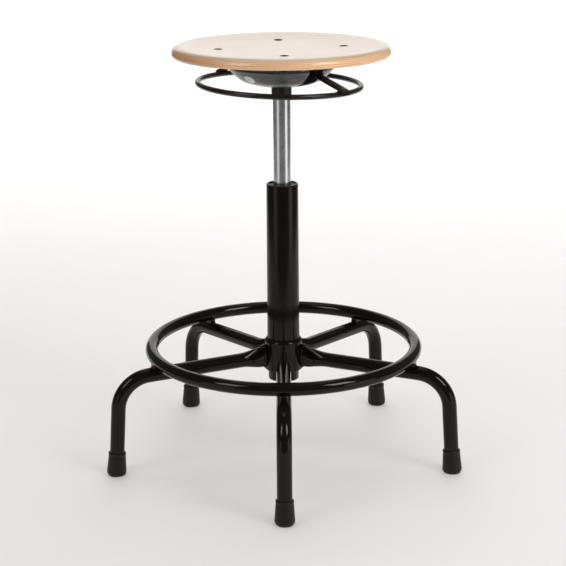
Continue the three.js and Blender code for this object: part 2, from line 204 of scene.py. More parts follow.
def cut(piece, *tools):
    """Takes the tools away from piece, and removes them."""
    for tool in tools:
        step = piece.modifiers.new("cut", "BOOLEAN")
        step.operation = "DIFFERENCE"
        step.solver = "EXACT"
        step.object = tool
    bake(piece)
    for tool in tools:
        bpy.data.objects.remove(tool, do_unlink=True)


def bake(piece):
    """Applies every modifier."""
    bpy.context.view_layer.update()
    graph = bpy.context.evaluated_depsgraph_get()
    mesh = bpy.data.meshes.new_from_object(piece.evaluated_get(graph))
    piece.modifiers.clear()
    piece.data = mesh


def bevel(piece, width, segments=3, angle=30):
    """Rounds every edge over angle degrees by width mm."""
    step = piece.modifiers.new("bevel", "BEVEL")
    step.width = width * MM
    step.segments = segments
    step.limit_method = "ANGLE"
    step.angle_limit = math.radians(angle)
    step.harden_normals = False
    bake(piece)
    tidy_normals(piece, 40)


def turned(point, azimuth):
    """The point turned about the column axis."""
    x, y, z = point
    c, s = math.cos(azimuth), math.sin(azimuth)
    return Vector((x * c - y * s, x * s + y * c, z))


def polar(r, azimuth, z):
    return Vector((r * math.cos(azimuth), r * math.sin(azimuth), z))


def smoothstep(t):
    """Eases from 0 to 1 as t does."""
    t = max(0.0, min(1.0, t))
    return t * t * (3 - 2 * t)


# ---------------------------------------------------------------- material helpers
class Nodes:
    """Short names for building a node material."""

    def __init__(self, name):
        self.material = bpy.data.materials.new(name)
        self.material.use_nodes = True
        self.tree = self.material.node_tree
        self.tree.nodes.clear()
        self.output = self.tree.nodes.new("ShaderNodeOutputMaterial")
        self.shader = self.tree.nodes.new("ShaderNodeBsdfPrincipled")
        self.join(self.shader.outputs["BSDF"], self.output.inputs["Surface"])
        self.place = self.tree.nodes.new("ShaderNodeTexCoord").outputs["Object"]

    def join(self, a, b):
        self.tree.links.new(a, b)

    def add(self, kind, **settings):
        node = self.tree.nodes.new(kind)
        for key, value in settings.items():
            setattr(node, key, value)
        return node

    def feed(self, node, **values):
        for key, value in values.items():
            socket = node.inputs[key.replace("_", " ")]
            if isinstance(value, bpy.types.NodeSocket):
                self.join(value, socket)
            else:
                socket.default_value = value
        return node

    def stretched(self, scale, location=(0, 0, 0), rotation=(0, 0, 0)):
        node = self.add("ShaderNodeMapping")
        self.join(self.place, node.inputs["Vector"])
        node.inputs["Scale"].default_value = scale
        node.inputs["Location"].default_value = location
        node.inputs["Rotation"].default_value = rotation
        return node.outputs["Vector"]

    def noise(self, scale, detail=4.0, roughness=0.55, vector=None, distortion=0.0):
        node = self.feed(self.add("ShaderNodeTexNoise"), Scale=scale, Detail=detail, Roughness=roughness,
                         Distortion=distortion)
        self.join(vector or self.place, node.inputs["Vector"])
        return node.outputs["Fac"]

    def remap(self, value, low, high, to_low, to_high):
        node = self.add("ShaderNodeMapRange")
        self.join(value, node.inputs["Value"])
        for key, number in (("From Min", low), ("From Max", high), ("To Min", to_low), ("To Max", to_high)):
            node.inputs[key].default_value = number
        return node.outputs["Result"]

    def math(self, operation, a, b=None):
        node = self.add("ShaderNodeMath", operation=operation)
        for slot_index, value in enumerate((a, b)):
            if value is None:
                continue
            if isinstance(value, bpy.types.NodeSocket):
                self.join(value, node.inputs[slot_index])
            else:
                node.inputs[slot_index].default_value = value
        return node.outputs[0]

    def mix(self, factor, a, b, blend="MIX"):
        node = self.add("ShaderNodeMix", data_type="RGBA", blend_type=blend)
        for key, value in ((0, factor), (6, a), (7, b)):
            socket = node.inputs[key]
            if isinstance(value, bpy.types.NodeSocket):
                self.join(value, socket)
            else:
                socket.default_value = value if key == 0 else (*value, 1)
        return node.outputs[2]

    def ramp(self, value, stops):
        node = self.add("ShaderNodeValToRGB")
        self.join(value, node.inputs["Fac"])
        elements = node.color_ramp.elements
        while len(elements) < len(stops):
            elements.new(0.5)
        for element, (position, colour) in zip(elements, stops):
            element.position = position
            element.color = (*colour, 1)
        return node.outputs["Color"]

    def bump(self, height, strength, distance):
        node = self.feed(self.add("ShaderNodeBump"), Strength=strength, Distance=distance)
        self.join(height, node.inputs["Height"])
        self.join(node.outputs["Normal"], self.shader.inputs["Normal"])


def enamel(name, colour, rough, peel=0.05, wear=(0.05, 0.05, 0.05), specular=0.5, metallic=0.0):
    """Sprayed or powder-coated paint: fine orange peel, uneven gloss and thin paint on sharp edges."""
    n = Nodes(name)
    broad = n.noise(9.0, 3.0)
    fine = n.noise(900.0, 2.0)
    blotch = n.remap(broad, 0.3, 0.7, 0.85, 1.15)
    thin, thick = [c * 0.9 for c in colour], [c * 1.12 for c in colour]
    shade = n.mix(n.remap(broad, 0.35, 0.65, 0.0, 1.0), thin, thick)
    edge = n.add("ShaderNodeNewGeometry").outputs["Pointiness"]
    chips = n.remap(n.noise(140.0, 6.0), 0.45, 0.6, 0.0, 1.0)
    worn = n.math("MULTIPLY", n.remap(edge, 0.56, 0.66, 0.0, 0.45), chips)
    n.join(n.mix(worn, shade, wear), n.shader.inputs["Base Color"])
    n.join(n.math("MULTIPLY", blotch, rough), n.shader.inputs["Roughness"])
    n.feed(n.shader, Specular_IOR_Level=specular, Metallic=metallic)
    n.bump(n.math("ADD", n.noise(350.0, 2.0), n.math("MULTIPLY", fine, 0.4)), peel, 0.0004)
    return n.material


def metal(name, colour, rough, brushed=(1, 1, 1), scratch=0.1, streak=600.0, spread=0.25):
    """Bare or plated metal: fine directional marks in roughness and bump, with smudges."""
    n = Nodes(name)
    marks = n.noise(streak, 4.0, 0.6, n.stretched(brushed))
    smudge = n.noise(25.0, 4.0)
    dull, bright = [c * 0.92 for c in colour], [min(1, c * 1.05) for c in colour]
    n.join(n.mix(n.remap(smudge, 0.3, 0.7, 0.0, 1.0), dull, bright), n.shader.inputs["Base Color"])
    uneven = n.math("ADD", n.remap(marks, 0.3, 0.7, 1 - spread, 1 + spread),
                    n.remap(smudge, 0.3, 0.7, -0.1, 0.1))
    n.join(n.math("MULTIPLY", uneven, rough), n.shader.inputs["Roughness"])
    n.feed(n.shader, Metallic=1.0)
    n.bump(marks, scratch, 0.0002)
    return n.material


def moulded(name, colour, rough, grain=700.0, strength=0.25, dust=(0.2, 0.2, 0.2)):
    """Moulded rubber or plastic: fine pebble, faint dust in random patches."""
    n = Nodes(name)
    pebble = n.noise(grain, 3.0)
    patch = n.noise(30.0, 4.0)
    dark, light = [c * 0.85 for c in colour], [c * 1.15 for c in colour]
    base = n.mix(n.remap(patch, 0.35, 0.7, 0.0, 1.0), dark, light)
    n.join(n.mix(n.remap(patch, 0.55, 0.8, 0.0, 0.12), base, dust), n.shader.inputs["Base Color"])
    n.join(n.remap(pebble, 0.3, 0.7, rough - 0.08, rough + 0.08), n.shader.inputs["Roughness"])
    n.feed(n.shader, Specular_IOR_Level=0.25)
    n.bump(pebble, strength, 0.0003)
    return n.material


LABEL_PALE = (0.80, 0.785, 0.75)
LABEL_GREY = (0.46, 0.43, 0.38)
FACE_LIGHT = (0.585, 0.475, 0.372)
FACE_WARM = (0.57, 0.43, 0.308)
FACE_FIBRE = (0.49, 0.35, 0.235)
# painted shade for the far part of the seat face
FACE_BACK_SHADE = (0.565, 0.415, 0.295)
FACE_FLECK = (0.42, 0.29, 0.19)
# painted shade for the left end of the turned edge
PLY_PAINTED_SHADE = (0.56, 0.25, 0.095)
PLY_END = (0.74, 0.41, 0.20)
PLY_SIDE = (0.94, 0.615, 0.36)
PLY_GLUE = (0.45, 0.24, 0.13)
PLY_DARK = (0.55, 0.31, 0.17)
PLY_RIM = (0.36, 0.165, 0.065)
PLY_COUNT = 12
FACE_NORMAL = 0.86  # upright part of the normal where the face veneer ends


def plain_label(name, centre, radius):
    """Pale film with a plain grey ring and faint smudges."""
    n = Nodes(name)
    away = n.add("ShaderNodeVectorMath", operation="DISTANCE")
    n.join(n.place, away.inputs[0])
    away.inputs[1].default_value = centre
    reach = n.math("DIVIDE", away.outputs["Value"], radius)
    rings = n.ramp(reach, ((0.0, LABEL_GREY), (0.36, LABEL_GREY), (0.44, LABEL_PALE), (0.60, LABEL_PALE),
                           (0.66, LABEL_GREY), (0.74, LABEL_GREY), (0.80, LABEL_PALE)))
    smudge = n.noise(180.0, 4.0)
    n.join(n.mix(n.remap(smudge, 0.4, 0.7, 0.0, 0.4), rings, LABEL_GREY), n.shader.inputs["Base Color"])
    n.join(n.remap(smudge, 0.3, 0.7, 0.3, 0.45), n.shader.inputs["Roughness"])
    n.bump(smudge, 0.03, 0.0002)
    return n.material


def plywood(name, low, high, centre_y):
    """Lacquered beech: a pale face with flecks and long grain, and stacked plies on the turned edge.

    low and high are the heights of the two faces, and centre_y is the middle of the seat."""
    n = Nodes(name)
    split = n.add("ShaderNodeSeparateXYZ")
    n.join(n.place, split.inputs[0])
    x, y, z = split.outputs
    # face veneer, with the grain along X
    wave = n.noise(3.2, 3.0, 0.5, n.stretched((1.2, 9.0, 1.0), location=(0.3, 0.1, 0)), 0.6)
    rings = n.math("FRACT", n.math("MULTIPLY", wave, 9.0))
    soft_rings = n.remap(n.math("ABSOLUTE", n.math("SUBTRACT", rings, 0.5)), 0.0, 0.5, 0.0, 1.0)
    fibre = n.noise(55.0, 6.0, 0.65, n.stretched((1.0, 26.0, 26.0)))
    fleck_field = n.noise(240.0, 1.0, 0.4, n.stretched((0.55, 3.2, 3.2)))
    fleck = n.remap(fleck_field, 0.64, 0.72, 0.0, 1.0)
    face = n.mix(soft_rings, FACE_LIGHT, FACE_WARM)
    face = n.mix(n.remap(fibre, 0.35, 0.7, 0.0, 0.55), face, FACE_FIBRE)
    face = n.mix(n.math("MULTIPLY", fleck, 0.4), face, FACE_FLECK)
    # painted shade: towards the back of the seat the face turns darker and warmer, broken up by the grain
    towards_back = n.remap(y, centre_y - 0.10, centre_y + 0.10, 0.0, 0.75)
    back = n.math("MULTIPLY", towards_back, n.remap(wave, 0.3, 0.7, 0.6, 1.0))
    face = n.mix(back, face, FACE_BACK_SHADE)
    # plies by height, gently wavy
    height = n.remap(z, low, high, 0.0, 1.0)
    waver = n.math("MULTIPLY", n.math("SUBTRACT", n.noise(14.0, 3.0), 0.5), 0.05)
    level = n.math("MULTIPLY", n.math("ADD", height, waver), PLY_COUNT / 2)
    phase = n.math("FRACT", level)
    band = n.ramp(phase, ((0.0, PLY_END), (0.44, PLY_END), (0.5, PLY_GLUE), (0.56, PLY_SIDE),
                          (0.93, PLY_SIDE), (0.985, PLY_GLUE)))
    streak = n.noise(60.0, 5.0, 0.6, n.stretched((3.0, 3.0, 60.0)))
    band = n.mix(n.remap(streak, 0.3, 0.75, 0.0, 0.55), band, PLY_DARK)
    # the face veneer covers what looks up or down, and the plies show on the rest
    normal = n.add("ShaderNodeSeparateXYZ")
    n.join(n.add("ShaderNodeNewGeometry").outputs["Normal"], normal.inputs[0])
    facing = n.math("ABSOLUTE", normal.outputs[2])
    is_face = n.remap(facing, FACE_NORMAL - 0.015, FACE_NORMAL + 0.015, 0.0, 1.0)
    rim = n.math("MULTIPLY", n.remap(facing, FACE_NORMAL - 0.12, FACE_NORMAL, 0.0, 1.0),
                 n.remap(facing, FACE_NORMAL, FACE_NORMAL + 0.03, 1.0, 0.0))
    # painted shade: the edge is darker and redder towards the far left, where less light falls; and a dark
    # line where face and edge meet
    band = n.mix(n.remap(x, -0.165, -0.085, 0.7, 0.0), band, PLY_PAINTED_SHADE)
    band = n.mix(n.math("MULTIPLY", rim, 0.75), band, PLY_RIM)
    n.join(n.mix(is_face, band, face), n.shader.inputs["Base Color"])
    n.join(n.remap(fibre, 0.3, 0.7, 0.3, 0.42), n.shader.inputs["Roughness"])
    n.feed(n.shader, Coat_Weight=0.9, Coat_Roughness=0.2, Specular_IOR_Level=0.35)
    relief = n.math("ADD", n.math("MULTIPLY", fibre, 0.6), n.math("MULTIPLY", fleck, -0.4))
    n.bump(relief, 0.18, 0.0004)
    return n.material


BLACK = (0.0040, 0.0030, 0.0024)
LABEL_R = 0.0088
seat_low, seat_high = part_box("seat")
label_low, label_high = (Vector(corner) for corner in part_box("round_label"))
looks = {
    "base_paint": enamel("black_gloss_enamel", BLACK, 0.09, peel=0.03, specular=0.22),
    "column_paint": enamel("black_column_enamel", BLACK, 0.16, peel=0.03, specular=0.22),
    "collar_paint": enamel("black_collar_enamel", (0.006, 0.005, 0.0045), 0.36, peel=0.1, specular=0.35),
    "lever_paint": enamel("black_lever_enamel", (0.0055, 0.0042, 0.0034), 0.24, peel=0.08, specular=0.4),
    "dish_paint": enamel("grey_dish_enamel", (0.10, 0.10, 0.10), 0.26, peel=0.06,
                         wear=(0.2, 0.2, 0.2), metallic=0.75),
    "weld": enamel("painted_weld", BLACK, 0.16, peel=0.3, specular=0.25),
    "foot_rubber": moulded("black_rubber", (0.006, 0.005, 0.0045), 0.42, strength=0.12,
                           dust=(0.02, 0.02, 0.02)),
    "bumper_rubber": moulded("bumper_rubber", (0.03, 0.03, 0.03), 0.7),
    "nylon": moulded("black_nylon", (0.03, 0.03, 0.032), 0.45, strength=0.12),
    "bearing_steel": metal("bearing_steel", (0.55, 0.55, 0.56), 0.3),
    "fastener_zinc": metal("zinc_plate", (0.62, 0.62, 0.58), 0.38, spread=0.4),
    "bolt_dark": enamel("dark_bolt_steel", (0.012, 0.009, 0.007), 0.7, peel=0.1,
                        wear=(0.02, 0.016, 0.012), specular=0.0),
    "rod_chrome": metal("hard_chrome", (0.72, 0.73, 0.74), 0.12, brushed=(1, 1, 40), scratch=0.03),
    "cylinder_chrome": metal("cylinder_chrome", (0.66, 0.67, 0.67), 0.25, brushed=(1, 1, 30), scratch=0.04),
    "button_steel": metal("button_steel", (0.4, 0.4, 0.41), 0.35),
    "label_film": plain_label("plain_label_film", (label_low + label_high) / 2, LABEL_R),
    "beech_plywood": plywood("beech_plywood", seat_low[2], seat_high[2], AXIS_Y),
}


def finish(piece, body, slot, *nodes, look=None):
    """Gives a piece its look (the slot's, unless look names another), parents it to its body and hides the
    CAD nodes it stands for.
    """
    piece.data.materials.clear()
    piece.data.materials.append(looks[look or slot])
    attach(piece, body)
    if nodes:
        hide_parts(*nodes)
    return piece


# ---------------------------------------------------------------- base: hub, legs, ring, feet
TUBE_R = 11.8
LEG_HUB = (31.4, 173.1)  # (r, z) where the leg's axis meets the hub
LEG_CORNER = (276.6, 160.6)  # (r, z) where its level and steep runs would cross
LEG_FLOOR_R = 286.6
LEG_BEND_R = 55
LEG_END_Z = 8.4
BLADE = (17.2, 2.9)  # half height and half width of the flattened end
FLAT_LENGTH = 74
PAST_FLAT = 1e3  # stands for any distance well beyond the flattened end
FLAT_STEPS, LEVEL_STEPS, BEND_STEPS = 20, 28, 20
RING_RADIUS, RING_TUBE_R, RING_Z = 216, 10.4, 189.4
LUG_HALF_LENGTH, LUG_HALF_WIDTH = 7, 5
HUB_R, HUB_LOW, HUB_SHOULDER = 31, 151, 200
FOOT_R = 15.85
SOLE_Z = 0.00002  # in metres, a hair above the floor
BEAD_RISE = 0.3
COLUMN_LOW, COLUMN_SEAM, COLUMN_HIGH = 133.5, 204, 461.5
COLUMN_LOW_R, COLUMN_SEAM_R, COLUMN_HIGH_R = 24.9, 26.4, 25.6


def column_radius(z):
    """The column swells from its foot up to the seam on the hub, then narrows slightly."""
    if z < COLUMN_SEAM:
        share = (z - COLUMN_LOW) / (COLUMN_SEAM - COLUMN_LOW)
        return COLUMN_LOW_R + share * (COLUMN_SEAM_R - COLUMN_LOW_R)
    share = (z - COLUMN_SEAM) / (COLUMN_HIGH - COLUMN_SEAM)
    return COLUMN_SEAM_R - share * (COLUMN_SEAM_R - COLUMN_HIGH_R)


def leg_axis():
    """Stations (point, direction, distance from the hub) along a leg in its own XZ plane."""
    hub = Vector((LEG_HUB[0], 0, LEG_HUB[1]))
    corner = Vector((LEG_CORNER[0], 0, LEG_CORNER[1]))
    floor = Vector((LEG_FLOOR_R, 0, 0))
    level, down = (corner - hub).normalized(), (floor - corner).normalized()
    turn = level.angle(down)
    start = corner - level * LEG_BEND_R * math.tan(turn / 2)
    centre = start + Vector((level.z, 0, -level.x)) * LEG_BEND_R
    stations = []
    run = (start - hub).length
    for k in range(LEVEL_STEPS + 1):
        distance = run * k / LEVEL_STEPS if k > FLAT_STEPS else FLAT_LENGTH * k / FLAT_STEPS
        stations.append((hub + level * distance, level, distance))
    for k in range(1, BEND_STEPS + 1):
        turned_by = Matrix.Rotation(turn * k / BEND_STEPS, 3, "Y")
        stations.append((turned_by @ (start - centre) + centre, turned_by @ level, PAST_FLAT))
    end = floor - down * (LEG_END_Z / -down.z)
    stations.append((end, down, PAST_FLAT))
    return stations


def leg(name, azimuth):
    """A bent round tube whose inner end is pressed into an upright blade."""
    sides = 32
    sections = []
    for at, along, distance in leg_axis():
        roundness = smoothstep((distance - 5) / 37)
        a = BLADE[0] + (TUBE_R - BLADE[0]) * roundness
        b = BLADE[1] + (TUBE_R - BLADE[1]) * smoothstep((distance - 7) / 33)
        power = 0.5 + 0.5 * roundness
        blend = smoothstep((distance - 2) / 20)
        along = Vector((1, 0, 0)).lerp(along, blend).normalized() if distance < PAST_FLAT else along
        up = Vector((-along.z, 0, along.x))
        section = []
        for k in range(sides):
            angle = 2 * math.pi * k / sides
            s, c = math.sin(angle), math.cos(angle)
            s = math.copysign(abs(s) ** power, s)
            c = math.copysign(abs(c) ** power, c)
            section.append(turned(at + up * a * s + Vector((0, b * c, 0)), azimuth))
        sections.append(section)
    return skin(name, sections)


def foot(name, azimuth):
    """A rubber ferrule on the splayed leg end, with its sole flat on the floor."""
    lean = math.atan2(LEG_FLOOR_R - LEG_CORNER[0], LEG_CORNER[1])
    outline = fillet([
        (0, -3), (12.9, -3), (12.9, 0), (15.2, 2.6, 2.5), (FOOT_R, 6.5, 3), (15.0, 18, 20), (13.9, 33.0, 2),
        (13.6, 34.2, 0.6), (14.2, 35.2, 0.7), (14.2, 37.4, 1.0), (13.6, 38.4, 0.6), (TUBE_R + 0.25, 38.4),
        (TUBE_R + 0.25, 8), (0, 8)])
    piece = revolve(name, outline, 64, closed=False)
    pose = Matrix.Translation(AXIS) @ Matrix.Rotation(azimuth, 4, "Z") @ Matrix.Translation(
        (LEG_FLOOR_R * MM, 0, 0)) @ Matrix.Rotation(-lean, 4, "Y") @ Matrix.Translation(-AXIS)
    piece.data.transform(pose)
    bm = bmesh.new()
    bm.from_mesh(piece.data)
    geometry = bm.verts[:] + bm.edges[:] + bm.faces[:]
    sliced = bmesh.ops.bisect_plane(bm, geom=geometry, plane_co=(0, 0, SOLE_Z), plane_no=(0, 0, -1),
                                    clear_outer=True)
    rim = [e for e in sliced["geom_cut"] if isinstance(e, bmesh.types.BMEdge)]
    bmesh.ops.edgeloop_fill(bm, edges=rim)
    bm.to_mesh(piece.data)
    bm.free()
    tidy_normals(piece)
    return piece


def leg_height(r):
    """Height of the leg's axis on its level run."""
    slope = (LEG_CORNER[1] - LEG_HUB[1]) / (LEG_CORNER[0] - LEG_HUB[0])
    return LEG_HUB[1] + (r - LEG_HUB[0]) * slope


def lug(name, azimuth):
    """The small block between the foot ring and a leg, its ends hugging both tubes."""
    sections = []
    steps = 8
    lengthwise = [LUG_HALF_LENGTH * t for t in (1, 0.5, 0, -0.5, -1)]
    for k in range(steps + 1):
        y = -LUG_HALF_WIDTH + 2 * LUG_HALF_WIDTH * k / steps
        low = leg_height(RING_RADIUS) + math.sqrt(TUBE_R ** 2 - y * y) - 0.6
        section = [turned((RING_RADIUS + x, y, low), azimuth) for x in lengthwise]
        for x in reversed(lengthwise):
            high = RING_Z - math.sqrt((RING_TUBE_R - 0.3) ** 2 - x * x)
            section.append(turned((RING_RADIUS + x, y, high), azimuth))
        sections.append(section)
    piece = skin(name, sections)
    bevel(piece, 0.8)
    return piece


def ellipse_bead(name, centre, u, v, a, b, radius, seed, arc=(0, 360), count=48):
    """A weld bead round an ellipse with half-axes a along u and b along v."""
    full = arc[1] - arc[0] >= 360
    points = []
    for k in range(count if full else count + 1):
        t = math.radians(arc[0] + (arc[1] - arc[0]) * k / count)
        points.append(centre + u * a * math.cos(t) + v * b * math.sin(t))
    return tube_along(name, points, radius, 10, loop=full, wobble=0.16, seed=seed)


hub_outline = fillet([
    (column_radius(HUB_LOW) + 0.3, HUB_LOW), (HUB_R, HUB_LOW, 1.2), (HUB_R, HUB_SHOULDER, 4),
    (COLUMN_SEAM_R + 1.1, COLUMN_SEAM, 0.6), (COLUMN_SEAM_R + 0.3, COLUMN_SEAM)],
    closed=True)
finish(revolve("hub", hub_outline), "base", "base_paint", "hub_sleeve")

for i in range(5):
    azimuth = math.radians(-90 + 72 * i)
    number = i + 1
    finish(leg(f"leg_tube_{number}", azimuth), "base", "base_paint", f"leg_{number}")
    finish(foot(f"rubber_foot_{number}", azimuth), "base", "foot_rubber", f"foot_{number}")
    finish(lug(f"ring_block_{number}", azimuth), "base", "base_paint", f"ring_lug_{number}")
    # the flattened leg end welded to the hub, up both sides and over the top
    radial, tangent, up = turned((1, 0, 0), azimuth), turned((0, 1, 0), azimuth), Vector((0, 0, 1))
    start = turned((HUB_R + 0.9, 0, LEG_HUB[1]), azimuth)
    outline_bead = ellipse_bead(f"hub_weld_{number}", start, tangent, up, BLADE[1] + 0.8, BLADE[0] + 0.6,
                                1.9, 10 + i)
    finish(outline_bead, "base", "base_paint", look="weld")
    # the blob on top of each blade
    blade_top = turned((HUB_R + 3.4, 0, LEG_HUB[1] + BLADE[0] + 0.8), azimuth)
    blob = ellipse_bead(f"hub_weld_top_{number}", blade_top, radial, tangent, 3.0, 1.8, 2.2, 30 + i,
                        count=20)
    finish(blob, "base", "base_paint", look="weld")
    # a bead at each end of the lug, over the leg's round back
    leg_top = leg_height(RING_RADIUS) + TUBE_R
    for end, sign in (("in", -1), ("out", 1)):
        middle = turned((RING_RADIUS, 0, 0), azimuth) + radial * sign * (LUG_HALF_LENGTH + 0.2)
        line = []
        for y in (-5, -3, -1, 1, 3, 5):
            drop = TUBE_R - math.sqrt(TUBE_R ** 2 - y * y)
            line.append(middle + tangent * y + up * (leg_top - drop + BEAD_RISE))
        finish(tube_along(f"lug_weld_{end}_{number}", line, 1.2, 8, wobble=0.2, seed=50 + i), "base",
               "base_paint", look="weld")

ring_path = [polar(RING_RADIUS, 2 * math.pi * k / 288, RING_Z) for k in range(288)]
foot_ring = tube_along("foot_ring_tube", ring_path, RING_TUBE_R, 32, loop=True)
finish(foot_ring, "base", "base_paint", "foot_ring")

# ---------------------------------------------------------------- column
BORE_R = 22.2
BUSH_R, BUSH_BORE_R = 21.9, 14.3
CYLINDER_R, CYLINDER_BORE_R = 14, 12
CYLINDER_LOW, CYLINDER_TAPER, CYLINDER_HIGH = 297, 600, 636
LOWER_CAP_TOP, UPPER_CAP_LOW = 307, 624
ROD_HOLE_R, BUTTON_HOLE_R = 5.3, 4.3
NECK_R, COLLAR_R = 13.2, 16
column_outline = fillet([
    (BORE_R, COLUMN_LOW, 0.4), (COLUMN_LOW_R - 0.05, COLUMN_LOW, 1.4), (COLUMN_SEAM_R, COLUMN_SEAM),
    (COLUMN_HIGH_R, COLUMN_HIGH, 1.6), (BORE_R, COLUMN_HIGH, 0.8)],
    closed=True)
finish(revolve("column", column_outline), "base", "column_paint", "column_tube")
seam = [polar(COLUMN_SEAM_R + 0.5, 2 * math.pi * k / 96, COLUMN_SEAM + 0.1) for k in range(96)]
finish(tube_along("column_seam_weld", seam, 0.6, 8, loop=True, wobble=0.15, seed=3), "base", "base_paint",
       look="weld")
bush_low, bush_high = (corner[2] for corner in node_mm("guide_bush"))
bush_outline = fillet([
    (BUSH_BORE_R, bush_low), (BUSH_R, bush_low), (BUSH_R, bush_high, 0.8), (BUSH_BORE_R, bush_high, 2.0)],
    closed=True)
finish(revolve("column_bush", bush_outline, 96), "base", "nylon", "guide_bush")

cylinder_outline = fillet([
    (ROD_HOLE_R, CYLINDER_LOW), (CYLINDER_R, CYLINDER_LOW, 1.2), (CYLINDER_R, CYLINDER_TAPER),
    (NECK_R, CYLINDER_HIGH, 0.6), (BUTTON_HOLE_R, CYLINDER_HIGH), (BUTTON_HOLE_R, UPPER_CAP_LOW),
    (CYLINDER_BORE_R, UPPER_CAP_LOW), (CYLINDER_BORE_R, LOWER_CAP_TOP), (ROD_HOLE_R, LOWER_CAP_TOP)],
    closed=True)
finish(revolve("gas_cylinder", cylinder_outline, 128), "seat", "cylinder_chrome", "spring_cylinder")
collar_outline = fillet([
    (CYLINDER_R + 0.25, CYLINDER_TAPER, 0.3), (COLLAR_R, CYLINDER_TAPER, 0.8),
    (COLLAR_R, CYLINDER_HIGH, 0.6), (NECK_R + 0.3, CYLINDER_HIGH)],
    closed=True)
finish(revolve("dish_collar", collar_outline, 96), "seat", "collar_paint", "socket_collar")

# ---------------------------------------------------------------- seat and dish
MECHANISM = math.radians(-42.8)  # the diagonal on which the lever's strip lies
SLOT = math.radians(-49.4)  # the diagonal of the dish's two slots
SLOT_END, SLOT_HALF, SLOT_LOW, SLOT_HIGH = 59.7, 13.7, 621, 662.5
STRIP_GAP_START, STRIP_GAP_HALF, STRIP_GAP_LOW = 66, 10.5, 635
STRIP_GAP_TOPS = (645, 655)  # at the front right and the back left
DISH_EDGE = 101
BOLT_HEAD_R, BOLT_R, BOLT_END, BOLT_CONE = 7.3, 3, 653.5, 4.2
HOLE_R = BOLT_R + 0.3
SOCKET_R, SOCKET_DEPTH = 3.4, 3.2
NUT_WIDTH, WASHER_R = 10, 6
bolt_places = [centre_mm(f"seat_bolt_{k}") for k in (1, 2, 3, 4)]
BOLT_DOME = 0.9
BOLT_TOP = node_mm("seat_bolt_1")[1][2] - BOLT_DOME


def opening_tool(azimuth, start, half, low, high):
    """A block that cuts straight out through the dish wall."""
    corners = [(x, y, z) for x in (start, DISH_EDGE) for y in (-half, half) for z in (low, high)]
    faces = [(0, 1, 3, 2), (4, 6, 7, 5), (0, 4, 5, 1), (2, 3, 7, 6), (0, 2, 6, 4), (1, 5, 7, 3)]
    return make("opening_tool", [turned(corner, azimuth) for corner in corners], faces)


def bore_tool(x, y, r, low, high):
    """An upright round cutter."""
    return revolve("bore_tool", [(0, low), (r, low), (r, high), (0, high)], 32, closed=False, centre=(x, y))


dish_outside = [
    (16.3, 620), (36, 620, 12), (47, 622.8, 30), (57, 625.6, 30), (65, 629.2, 30), (72, 634.8, 30),
    (79, 641.8, 30), (83.8, 648.6, 1.6), (82.2, 651.4, 1.6), (81.8, 663.8, 2), (108, 663.8, 0.6)]
dish_inside = [
    (108, 666.3, 0.6), (79.4, 666.3, 2), (79.7, 651, 2), (80.6, 648.6, 1), (77, 643.3, 20), (70.2, 636.6, 30),
    (63.7, 631.4, 30), (56.1, 628, 30), (46.3, 625.2, 30), (35.7, 622.5, 12), (16.3, 622.5)]
dish = revolve("steel_dish", fillet(dish_outside + dish_inside, closed=True, steps=6), 192)
slot_tools, strip_tools = [], []
for half_turn, strip_gap_top in zip((0, math.pi), STRIP_GAP_TOPS):
    x, y, _ = polar(SLOT_END, SLOT + half_turn, 0)
    slot_tools += [opening_tool(SLOT + half_turn, SLOT_END, SLOT_HALF, SLOT_LOW, SLOT_HIGH),
                   bore_tool(x, y, SLOT_HALF, SLOT_LOW, SLOT_HIGH)]
    strip_tools.append(opening_tool(MECHANISM + half_turn, STRIP_GAP_START, STRIP_GAP_HALF,
                                    STRIP_GAP_LOW, strip_gap_top))
cut(dish, *slot_tools, *strip_tools, *[bore_tool(x, y, HOLE_R, 657, 672) for x, y, _ in bolt_places])
tidy_normals(dish, 40)
finish(dish, "seat", "dish_paint", "dish")

seat_outline = fillet([
    (0, 666.6), (169.7, 666.6, 1.4), (171.9, 670.2, 4), (171.2, 675, 7), (167.8, 679.6, 7), (162.5, 682.0, 6),
    (156, 682.65, 20), (146, 682, 30), (126, 680, 40), (104, 678.2, 50), (84, 677.5, 50), (60, 677.3, 60),
    (0, 677.3)], steps=6)
seat = revolve("plywood_seat", seat_outline, 256, closed=False)


def countersink_tool(x, y):
    """Cuts a bolt's hole through the seat, with the cone for its head."""
    sink_r, below, clear_of_seat = BOLT_HEAD_R + 0.2, 662, 690
    outline = [(0, below), (HOLE_R, below), (HOLE_R, BOLT_TOP - BOLT_CONE - 0.3), (sink_r, BOLT_TOP - 0.3),
               (sink_r, clear_of_seat), (0, clear_of_seat)]
    return revolve("sink_tool", outline, 48, closed=False, centre=(x, y))


cut(seat, *[countersink_tool(x, y) for x, y, _ in bolt_places])
tidy_normals(seat, 40)
finish(seat, "seat", "beech_plywood", "seat")


def hexagon(name, x, y, corner_r, azimuth, low, high):
    """An upright six-sided prism with a corner at azimuth."""
    points = []
    for z in (low, high):
        for k in range(6):
            turn = azimuth + math.radians(60 * k)
            points.append((x + corner_r * math.cos(turn), y + corner_r * math.sin(turn), z))
    sides = [(k, (k + 1) % 6, (k + 1) % 6 + 6, k + 6) for k in range(6)]
    return make(name, points, [(5, 4, 3, 2, 1, 0), (6, 7, 8, 9, 10, 11), *sides])


